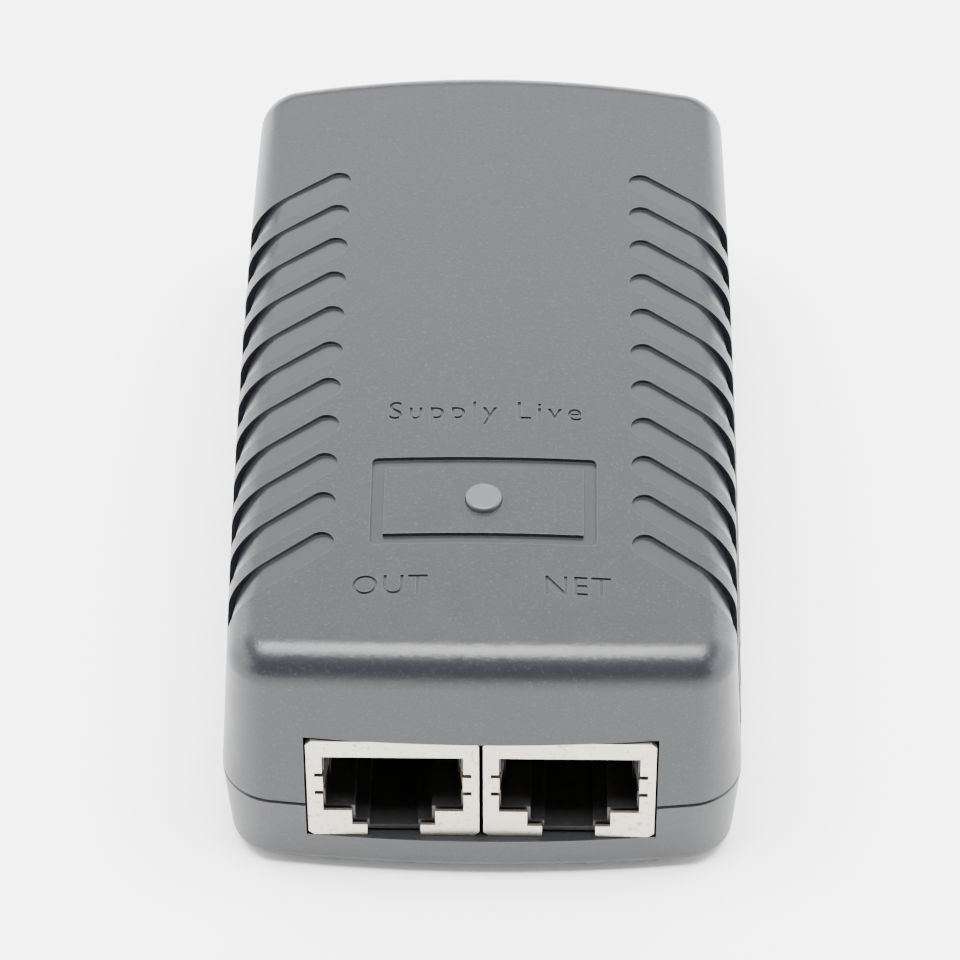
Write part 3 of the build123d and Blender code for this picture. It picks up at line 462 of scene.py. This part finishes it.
@dataclass(frozen=True)
class BoardLaminate(Finish):
    """Circuit board: solder mask over tracks.

    Attributes:
        track: Colour of the mask over copper.
        pitch: Width of a track cell in metres.
    """

    track: Colour = (0.02, 0.16, 0.06)
    pitch: float = 0.0024

    def build(self) -> bpy.types.Material:
        """Build the material.

        Returns:
            The material.
        """
        material, tree, shader = self.start()
        place = add_node(tree, "ShaderNodeTexCoord")
        cells = add_node(tree, "ShaderNodeTexBrick")
        tree.links.new(place.outputs["Object"], cells.inputs["Vector"])
        cells.inputs["Scale"].default_value = 1.0 / self.pitch
        cells.inputs["Mortar Size"].default_value = 0.12
        tree.links.new(
            blend_colour(tree, cells.outputs["Fac"], self.colour, self.track), shader.inputs["Base Color"]
        )
        weave = noise_node(tree, 1500.0, 2.0)
        relief = math_node(tree, "ADD", cells.outputs["Fac"], math_node(tree, "MULTIPLY", weave, 0.2))
        self.bump(tree, shader, relief, 0.00002)
        return material


@dataclass(frozen=True)
class WoundWire(Finish):
    """Turns of wire or tape lying side by side, with painted shade in the grooves between them.

    Attributes:
        turns: Turns per metre.
        metallic: Whether the turns are bare metal, 0 or 1.
    """

    turns: float = 1800.0
    metallic: float = 0.0

    def build(self) -> bpy.types.Material:
        """Build the material.

        Returns:
            The material.
        """
        material, tree, shader = self.start()
        shader.inputs["Metallic"].default_value = self.metallic
        place = add_node(tree, "ShaderNodeTexCoord")
        bands = add_node(tree, "ShaderNodeTexWave", bands_direction="Z")
        tree.links.new(place.outputs["Object"], bands.inputs["Vector"])
        bands.inputs["Scale"].default_value = self.turns / math.tau
        bands.inputs["Distortion"].default_value = 0.4
        # Painted shade: the bands darken the colour to 0.45 towards the grooves between turns, standing in
        # for shade there.
        painted_gap_shade = tuple(channel * 0.45 for channel in self.colour)
        shade = blend_colour(tree, bands.outputs["Fac"], painted_gap_shade, self.colour)
        tree.links.new(shade, shader.inputs["Base Color"])
        self.bump(tree, shader, bands.outputs["Fac"], 0.00008)
        return material


@dataclass(frozen=True)
class PrintedFilm(Finish):
    """Label film or component coating with faint fibres and smudges.

    Attributes:
        smudge: Colour of the smudges.
        coat: Share of clear coat.
    """

    smudge: Colour = (0.5, 0.5, 0.5)
    coat: float = 0.2

    def build(self) -> bpy.types.Material:
        """Build the material.

        Returns:
            The material.
        """
        material, tree, shader = self.start()
        shader.inputs["Coat Weight"].default_value = self.coat
        patch = map_value(tree, noise_node(tree, 160.0, 5.0, 0.65), -0.2, 0.5)
        tree.links.new(blend_colour(tree, patch, self.colour, self.smudge), shader.inputs["Base Color"])
        rough = map_value(tree, noise_node(tree, 420.0, 3.0), self.roughness - 0.05, self.roughness + 0.1)
        tree.links.new(rough, shader.inputs["Roughness"])
        self.bump(tree, shader, noise_node(tree, 1800.0, 3.0), 0.000008)
        return material


CASE_GREY: Colour = (0.010, 0.0108, 0.013)
# Each MouldedPlastic's grain highlight colour, given by its sixth value, by keyword or by default, is a
# painted highlight standing in for light catching the grains.
FINISHES: dict[str, Finish] = {
    "case_top": MouldedPlastic("textured case plastic", CASE_GREY, 0.34),
    "case_bottom": MouldedPlastic("textured lower case plastic", CASE_GREY, 0.36),
    # The last colour is the painted highlight on the brightest grains.
    "case_smooth": MouldedPlastic(
        "smooth case plastic", (0.011, 0.0118, 0.014), 0.3, 900.0, 0.000004, (0.013, 0.014, 0.0165)
    ),
    # The last colour is the painted highlight on the brightest grains.
    "lens": MouldedPlastic(
        "indicator plastic", (0.05, 0.053, 0.06), 0.3, 1100.0, 0.000003, (0.06, 0.062, 0.068)
    ),
    "screw_steel": PlatedMetal("zinc plated steel", (0.55, 0.56, 0.58), 0.35),
    "foot_rubber": Rubber("foot rubber", (0.018, 0.018, 0.019), 0.8),
    "label": PrintedFilm("silver label film", (0.62, 0.63, 0.64), 0.4, (0.5, 0.5, 0.51)),
    "nickel_shield": PlatedMetal("satin nickel plating", (0.47, 0.44, 0.365), 0.34, (0.27, 0.25, 0.21)),
    "black_housing": MouldedPlastic(
        "jack housing plastic",
        (0.01, 0.01, 0.011),
        0.38,
        1300.0,
        0.000006,
        painted_glint=(0.02, 0.02, 0.021),
        worn=(0.03, 0.03, 0.03),
    ),
    "gold_contact": PlatedMetal("gold plating", (0.88, 0.66, 0.3), 0.22, (0.6, 0.42, 0.16)),
    "pin_brass": PlatedMetal("nickel plated brass", (0.76, 0.72, 0.62), 0.25, (0.5, 0.46, 0.38)),
    "board": BoardLaminate("circuit board laminate", (0.012, 0.09, 0.035), 0.35),
    "insulation": PrintedFilm("insulation film", (0.75, 0.74, 0.7), 0.3, (0.6, 0.59, 0.55), 0.5),
    "component_dark": MouldedPlastic("dark component body", (0.03, 0.03, 0.034), 0.45, 2000.0, 0.000008),
    "varistor_blue": PrintedFilm("blue epoxy", (0.02, 0.1, 0.35), 0.35, (0.03, 0.13, 0.42), 0.5),
    "thermistor_green": PrintedFilm("green epoxy", (0.03, 0.22, 0.1), 0.4, (0.05, 0.28, 0.14), 0.4),
    "capacitor_yellow": PrintedFilm("yellow film box", (0.78, 0.55, 0.05), 0.35, (0.7, 0.47, 0.05)),
    # The last colour is the painted highlight on the brightest grains.
    "ferrite": MouldedPlastic("ferrite", (0.035, 0.033, 0.032), 0.55, 900.0, 0.00001, (0.07, 0.066, 0.062)),
    "copper": WoundWire("enamelled copper", (0.6, 0.24, 0.08), 0.3, 2200.0, 1.0),
    "component_black": MouldedPlastic("black epoxy package", (0.014, 0.014, 0.015), 0.42, 2200.0, 0.000006),
    "capacitor_sleeve": PrintedFilm(
        "capacitor sleeve", (0.012, 0.014, 0.03), 0.28, (0.02, 0.022, 0.045), 0.4
    ),
    "winding_tape": WoundWire("winding tape", (0.75, 0.55, 0.08), 0.32, 700.0),
    "heatsink": PlatedMetal("mill finish aluminium", (0.74, 0.75, 0.77), 0.38, (0.55, 0.56, 0.58)),
    "component_white": MouldedPlastic(
        "pale component body",
        (0.7, 0.69, 0.64),
        0.5,
        1500.0,
        0.000008,
        painted_glint=(0.76, 0.75, 0.7),
        worn=(0.8, 0.79, 0.76),
    ),
    "led": PrintedFilm("diffused green resin", (0.12, 0.55, 0.2), 0.25, (0.16, 0.62, 0.26), 0.6),
}


# ---- Mesh helpers ----
def clear_selection() -> None:
    """Deselect everything, so the next operator acts on its own piece only."""
    bpy.ops.object.select_all(action="DESELECT")


def make_active(piece: bpy.types.Object) -> None:
    """Select one object and make it the active one."""
    clear_selection()
    piece.select_set(True)
    bpy.context.view_layer.objects.active = piece


def apply_place(piece: bpy.types.Object) -> None:
    """Put an object's place into its mesh."""
    make_active(piece)
    bpy.ops.object.transform_apply(location=True, rotation=True, scale=True)


def dress_node(node: str, material: bpy.types.Material) -> None:
    """Give a node of the frame its material."""
    mesh = frame["nodes"][node].data
    mesh.materials.clear()
    mesh.materials.append(material)


def raised_words(words: str, height: float, thickness: float, spacing: float) -> bpy.types.Object:
    """Make a solid of upright lettering, centred on the origin, facing +Z.

    Args:
        words: What it says.
        height: Cap height in metres.
        thickness: Depth of the solid in metres.
        spacing: Letter spacing, 1 is normal.

    Returns:
        A mesh object.
    """
    cap_share = 0.69  # cap height of the built-in font at size 1
    clear_selection()
    bpy.ops.object.text_add(location=(0, 0, 0))
    text = bpy.context.active_object
    text.data.body = words
    text.data.size = height / cap_share
    text.data.extrude = thickness / 2
    text.data.space_character = spacing
    text.data.align_x = "CENTER"
    text.data.align_y = "CENTER"
    text.data.resolution_u = 4
    make_active(text)
    bpy.ops.object.convert(target="MESH")
    words_mesh = bpy.context.active_object
    bpy.ops.object.mode_set(mode="EDIT")
    bpy.ops.mesh.select_all(action="SELECT")
    bpy.ops.mesh.remove_doubles(threshold=0.000002)
    bpy.ops.mesh.normals_make_consistent(inside=False)
    bpy.ops.object.mode_set(mode="OBJECT")
    return words_mesh


# ---- Sub-assemblies ----
@dataclass
class Caption:
    """A line of engraved lettering on the crown.

    Attributes:
        words: What it says.
        x: Middle of the line.
        y: Middle of the line.
        height: Cap height.
        spacing: Letter spacing.
    """

    words: str
    x: float
    y: float
    height: float = 2.2 * MM
    spacing: float = 1.1


@dataclass
class Case:
    """The new pieces of the case: the engraved upper shell, the pad in the window and the label's print.

    Attributes:
        top: Height of the crown's highest point.
        crown_long: Radius of the crown along the case.
        crown_wide: Radius of the crown across the case.
        engraving: Depth of the lettering.
        captions: The lines of lettering.
        smooth_below: Depth under the crown from which a surface is a smooth groove floor.
        groove_reach: Depth under the crown past which a surface is no longer part of a groove.
        rim_inset: Width of the shoulder band that keeps the texture.
        corner_angle: Smallest turn between two faces that is a real corner.
        pad_rim: Width of the bevel round the pad.
        pad_cells: Strips that the pad is cut into, across and along, to follow the crown.
        pad_size: Width and length of the pad inside the window.
        pad_height: Height of the pad over the window's floor.
        lens_gap: Clearance round the indicator.
    """

    top: float
    crown_long: float = 495 * MM
    crown_wide: float = 177 * MM
    engraving: float = 0.22 * MM
    smooth_below: float = 0.06 * MM
    groove_reach: float = 1.2 * MM
    rim_inset: float = 4.2 * MM
    corner_angle: float = math.radians(14)
    pad_rim: float = 0.12 * MM
    pad_cells: tuple[int, int] = (24, 12)
    pad_size: tuple[float, float] = (18.6 * MM, 8.1 * MM)
    pad_height: float = 0.38 * MM
    lens_gap: float = 0.05 * MM
    captions: list[Caption] = field(
        default_factory=lambda: [
            Caption("Supply Live", 0.0, -9.7 * MM, spacing=1.25),
            Caption("OUT", -8.5 * MM, -31.05 * MM),
            Caption("NET", 8.7 * MM, -31.05 * MM),
        ]
    )

    def crown_height(self, x: float, y: float) -> float:
        """Height of the crown over a point.

        Args:
            x: Across the case.
            y: Along the case.

        Returns:
            Z in metres.
        """
        drop_wide = self.crown_wide - math.sqrt(self.crown_wide**2 - x**2)
        drop_long = self.crown_long - math.sqrt(self.crown_long**2 - y**2)
        return self.top - drop_wide - drop_long

    def engraved_shell(self, materials: dict[str, bpy.types.Material]) -> bpy.types.Object:
        """Copy the upper shell and cut the captions into it.

        Args:
            materials: The finishes by slot.

        Returns:
            The piece that stands for the upper shell.
        """
        source = frame["nodes"]["top_shell"]
        skin = bpy.data.objects.new("engraved_top_shell", source.data.copy())
        bpy.context.scene.collection.objects.link(skin)
        make_active(skin)
        bpy.ops.mesh.customdata_custom_splitnormals_clear()
        bpy.ops.object.mode_set(mode="EDIT")
        bpy.ops.mesh.select_all(action="SELECT")
        bpy.ops.mesh.remove_doubles(threshold=0.000001)
        bpy.ops.object.mode_set(mode="OBJECT")
        for caption in self.captions:
            cutter = raised_words(caption.words, caption.height, 4 * self.engraving, caption.spacing)
            self.seat_on_crown(cutter, caption)
            self.cut(skin, cutter)
            bpy.data.objects.remove(cutter)
        self.split_smooth_faces(skin, materials)
        self.soften(skin)
        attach(skin, ROOT_BODY)
        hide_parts("top_shell")
        return skin

    def seat_on_crown(self, cutter: bpy.types.Object, caption: Caption) -> None:
        """Drape a cutter over the crown so that it cuts to one depth.

        Args:
            cutter: The lettering solid, half above and half below its own middle.
            caption: Where it goes.
        """
        for vertex in cutter.data.vertices:
            x = vertex.co.x + caption.x
            y = vertex.co.y + caption.y
            above = vertex.co.z > 0
            lift = 2 * self.engraving if above else -self.engraving
            vertex.co = Vector((x, y, self.crown_height(x, y) + lift))

    def cut(self, skin: bpy.types.Object, cutter: bpy.types.Object) -> None:
        """Cut one solid out of another.

        Args:
            skin: The piece that is cut.
            cutter: The solid that is taken away.
        """
        make_active(skin)
        cut = skin.modifiers.new("engrave", "BOOLEAN")
        cut.operation = "DIFFERENCE"
        cut.solver = "EXACT"
        cut.object = cutter
        bpy.ops.object.modifier_apply(modifier=cut.name)

    def split_smooth_faces(
        self, skin: bpy.types.Object, materials: dict[str, bpy.types.Material]
    ) -> None:
        """Give the floors and walls of grooves a smooth finish and the rest the texture.

        Args:
            skin: The upper shell's piece.
            materials: The finishes by slot.
        """
        skin.data.materials.clear()
        skin.data.materials.append(materials["case_top"])
        skin.data.materials.append(materials["case_smooth"])
        low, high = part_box("top_shell")
        inset = self.rim_inset
        for face in skin.data.polygons:
            x, y, z = face.center
            face.material_index = 0
            on_top = abs(x) < high.x - inset and low.y + inset < y < high.y - inset
            depth = self.crown_height(x, y) - z
            if on_top and self.smooth_below < depth < self.groove_reach and face.normal.z > -0.5:
                face.material_index = 1

    def soften(self, skin: bpy.types.Object) -> None:
        """Shade the shell smooth by the size of its faces and keep its real corners sharp."""
        make_active(skin)
        bpy.ops.object.shade_smooth_by_angle(angle=self.corner_angle)
        weigh = skin.modifiers.new("weigh", "WEIGHTED_NORMAL")
        weigh.keep_sharp = True
        weigh.weight = 100
        bpy.ops.object.modifier_apply(modifier=weigh.name)

    def build(self, materials: dict[str, bpy.types.Material]) -> list[bpy.types.Object]:
        """Dress the case and make its new pieces.

        Args:
            materials: The finishes by slot.

        Returns:
            The new pieces.
        """
        return [
            self.engraved_shell(materials),
            self.window_pad(materials),
            *self.label_print(materials),
        ]

    def window_pad(self, materials: dict[str, bpy.types.Material]) -> bpy.types.Object:
        """Raise the pad inside the window, level with the crown, so that a channel is left round it.

        Args:
            materials: The finishes by slot.

        Returns:
            The pad, with a hole for the indicator.
        """
        lens_low, lens_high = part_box("led_lens")
        middle = (lens_low + lens_high) / 2
        lens_radius = (lens_high.x - lens_low.x) / 2
        clear_selection()
        bpy.ops.mesh.primitive_cube_add(size=1.0)
        pad = bpy.context.active_object
        pad.name = "window_pad"
        pad.scale = (*self.pad_size, self.pad_height)
        apply_place(pad)
        make_active(pad)
        bpy.ops.object.mode_set(mode="EDIT")
        for axis, count in enumerate(self.pad_cells):
            for step in range(1, count):
                place = [0.0, 0.0, 0.0]
                normal = [0.0, 0.0, 0.0]
                place[axis] = self.pad_size[axis] * (step / count - 0.5)
                normal[axis] = 1.0
                bpy.ops.mesh.select_all(action="SELECT")
                bpy.ops.mesh.bisect(plane_co=place, plane_no=normal)
        bpy.ops.object.mode_set(mode="OBJECT")
        clear_selection()
        bpy.ops.mesh.primitive_cylinder_add(vertices=48, radius=lens_radius + self.lens_gap, depth=MM * 4)
        hole = bpy.context.active_object
        self.cut(pad, hole)
        bpy.data.objects.remove(hole)
        rim = pad.modifiers.new("rim", "BEVEL")
        rim.width = self.pad_rim
        rim.segments = 2
        rim.limit_method = "ANGLE"
        rim.angle_limit = math.radians(60)
        make_active(pad)
        bpy.ops.object.modifier_apply(modifier=rim.name)
        for vertex in pad.data.vertices:
            x = vertex.co.x
            y = vertex.co.y + middle.y
            z = vertex.co.z - self.pad_height / 2 + self.crown_height(x, y)
            vertex.co = Vector((x, y, z))
        pad.data.materials.append(materials["case_top"])
        self.soften(pad)
        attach(pad, ROOT_BODY)
        return pad

    def label_print(self, materials: dict[str, bpy.types.Material]) -> list[bpy.types.Object]:
        """Print generic lines on the underside label.

        Args:
            materials: The finishes by slot.

        Returns:
            One piece with the print.
        """
        low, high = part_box("rating_label")
        film = 0.02 * MM
        lines = ("DC POWER SUPPLY", "INPUT  AC", "OUTPUT  DC", "INDOOR USE")
        step = (high.y - low.y) / (len(lines) + 1)
        printed = []
        for row, words in enumerate(lines):
            line = raised_words(words, 0.3 * step, film, 1.1)
            middle_y = low.y + step * (row + 1)
            line.matrix_world = (
                Matrix.Translation(((low.x + high.x) / 2, middle_y, low.z - film / 2))
                @ Matrix.Rotation(math.pi, 4, "X")
            )
            apply_place(line)
            printed.append(line)
        clear_selection()
        for line in printed:
            line.select_set(True)
        bpy.context.view_layer.objects.active = printed[0]
        bpy.ops.object.join()
        ink = bpy.context.active_object
        ink.name = "label_print"
        ink.data.materials.clear()
        ink.data.materials.append(materials["component_black"])
        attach(ink, ROOT_BODY)
        return [ink]


# ---- Studio ----
@dataclass
class Studio:
    """Floor, lights, world and camera.

    Attributes:
        floor_size: Side of the floor.
        lens: Focal length in mm on a 36 mm sensor.
        camera_place: Where the camera stands, in the row frame.
        camera_right: The picture's right, as a direction.
        camera_down: The picture's down, as a direction.
        camera_forward: Where the camera looks, as a direction.
    """

    floor_size: float = 6.0
    lens: float = 180.356
    camera_place: Point = (0.0047655, -0.3264027, 0.3566210)
    camera_right: Point = (0.9998967, 0.0141744, -0.0023718)
    camera_down: Point = (0.0086778, -0.7270347, -0.6865459)
    camera_forward: Point = (-0.0114557, 0.6864544, -0.7270826)

    def floor(self) -> bpy.types.Object:
        """Make the pale floor.

        Returns:
            The floor.
        """
        clear_selection()
        bpy.ops.mesh.primitive_plane_add(size=self.floor_size, location=(0, 0, 0))
        floor = bpy.context.active_object
        floor.name = "floor"
        material = bpy.data.materials.new("pale paper")
        material.use_nodes = True
        tree = material.node_tree
        shader = tree.nodes["Principled BSDF"]
        cloud = map_value(tree, noise_node(tree, 6.0, 2.0), 0.0, 1.0)
        tint = blend_colour(tree, cloud, (0.93, 0.93, 0.93), (0.95, 0.95, 0.95))
        tree.links.new(tint, shader.inputs["Base Color"])
        shader.inputs["Roughness"].default_value = 0.9
        shader.inputs["Specular IOR Level"].default_value = 0.1
        floor.data.materials.append(material)
        return floor

    def softbox(
        self, name: str, place: Point, aim: Point, size: tuple[float, float], power: float
    ) -> None:
        """Add a rectangular light.

        Args:
            name: The light's name.
            place: Where it hangs.
            aim: The point that it looks at.
            size: Its width and height.
            power: Its power in watts.
        """
        clear_selection()
        bpy.ops.object.light_add(type="AREA", location=place)
        lamp = bpy.context.active_object
        lamp.name = name
        lamp.data.shape = "RECTANGLE"
        lamp.data.size, lamp.data.size_y = size
        lamp.data.energy = power
        look = Vector(aim) - Vector(place)
        lamp.rotation_euler = look.to_track_quat("-Z", "Y").to_euler()

    def world(self) -> None:
        """Fill the room with a faint even light."""
        world = bpy.data.worlds.new("studio")
        bpy.context.scene.world = world
        world.use_nodes = True
        backing = world.node_tree.nodes["Background"]
        backing.inputs["Color"].default_value = (1.0, 1.0, 1.0, 1.0)
        backing.inputs["Strength"].default_value = 0.3

    def camera(self) -> None:
        """Place the camera."""
        data = bpy.data.cameras.new("view")
        data.sensor_width = 36.0
        data.lens = self.lens
        data.clip_start = 0.01
        eye = bpy.data.objects.new("view", data)
        bpy.context.scene.collection.objects.link(eye)
        columns = (
            Vector(self.camera_right),
            -Vector(self.camera_down),
            -Vector(self.camera_forward),
        )
        turn = Matrix(columns).transposed().to_4x4()
        eye.matrix_world = Matrix.Translation(self.camera_place) @ turn
        bpy.context.scene.camera = eye

    def build(self) -> None:
        """Set up the whole studio."""
        self.floor()
        self.softbox("overhead softbox", (0.0, -0.05, 0.85), (0, 0, 0), (0.9, 0.42), 42.0)
        self.softbox("rear card", (0.0, 0.85, 0.72), (0, 0, 0.02), (2.4, 0.8), 30.0)
        for side in (-1, 1):
            self.softbox("side card", (0.7 * side, 0.1, 0.22), (0, 0, 0.02), (1.3, 0.42), 12.0)
        self.world()
        self.camera()


def dress_frame(materials: dict[str, bpy.types.Material]) -> None:
    """Give every node of the frame its finish, by the record's slots.

    Args:
        materials: The finishes by slot.
    """
    for row in frame["record"]["subparts"]:
        dress_node(row["node"], materials[row["material_slot"]])
        log.info("dressed %s in %s", row["node"], row["material_slot"])


def main() -> None:
    """Build the groups, the finishes, the new pieces and the studio, in that order."""
    logging.basicConfig(level=logging.INFO, format="%(message)s")
    GROUPS[Group.GRAIN] = grain_group()
    GROUPS[Group.WEAR] = wear_group()
    GROUPS[Group.DUST] = dust_group()
    GROUPS[Group.SPECKLE] = speckle_group()
    materials = {slot: finish.build() for slot, finish in FINISHES.items()}
    dress_frame(materials)
    for piece in Case(top=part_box("top_shell")[1].z).build(materials):
        log.info("built %s, %d faces", piece.name, len(piece.data.polygons))
    Studio().build()


if __name__ == "__main__":
    main()
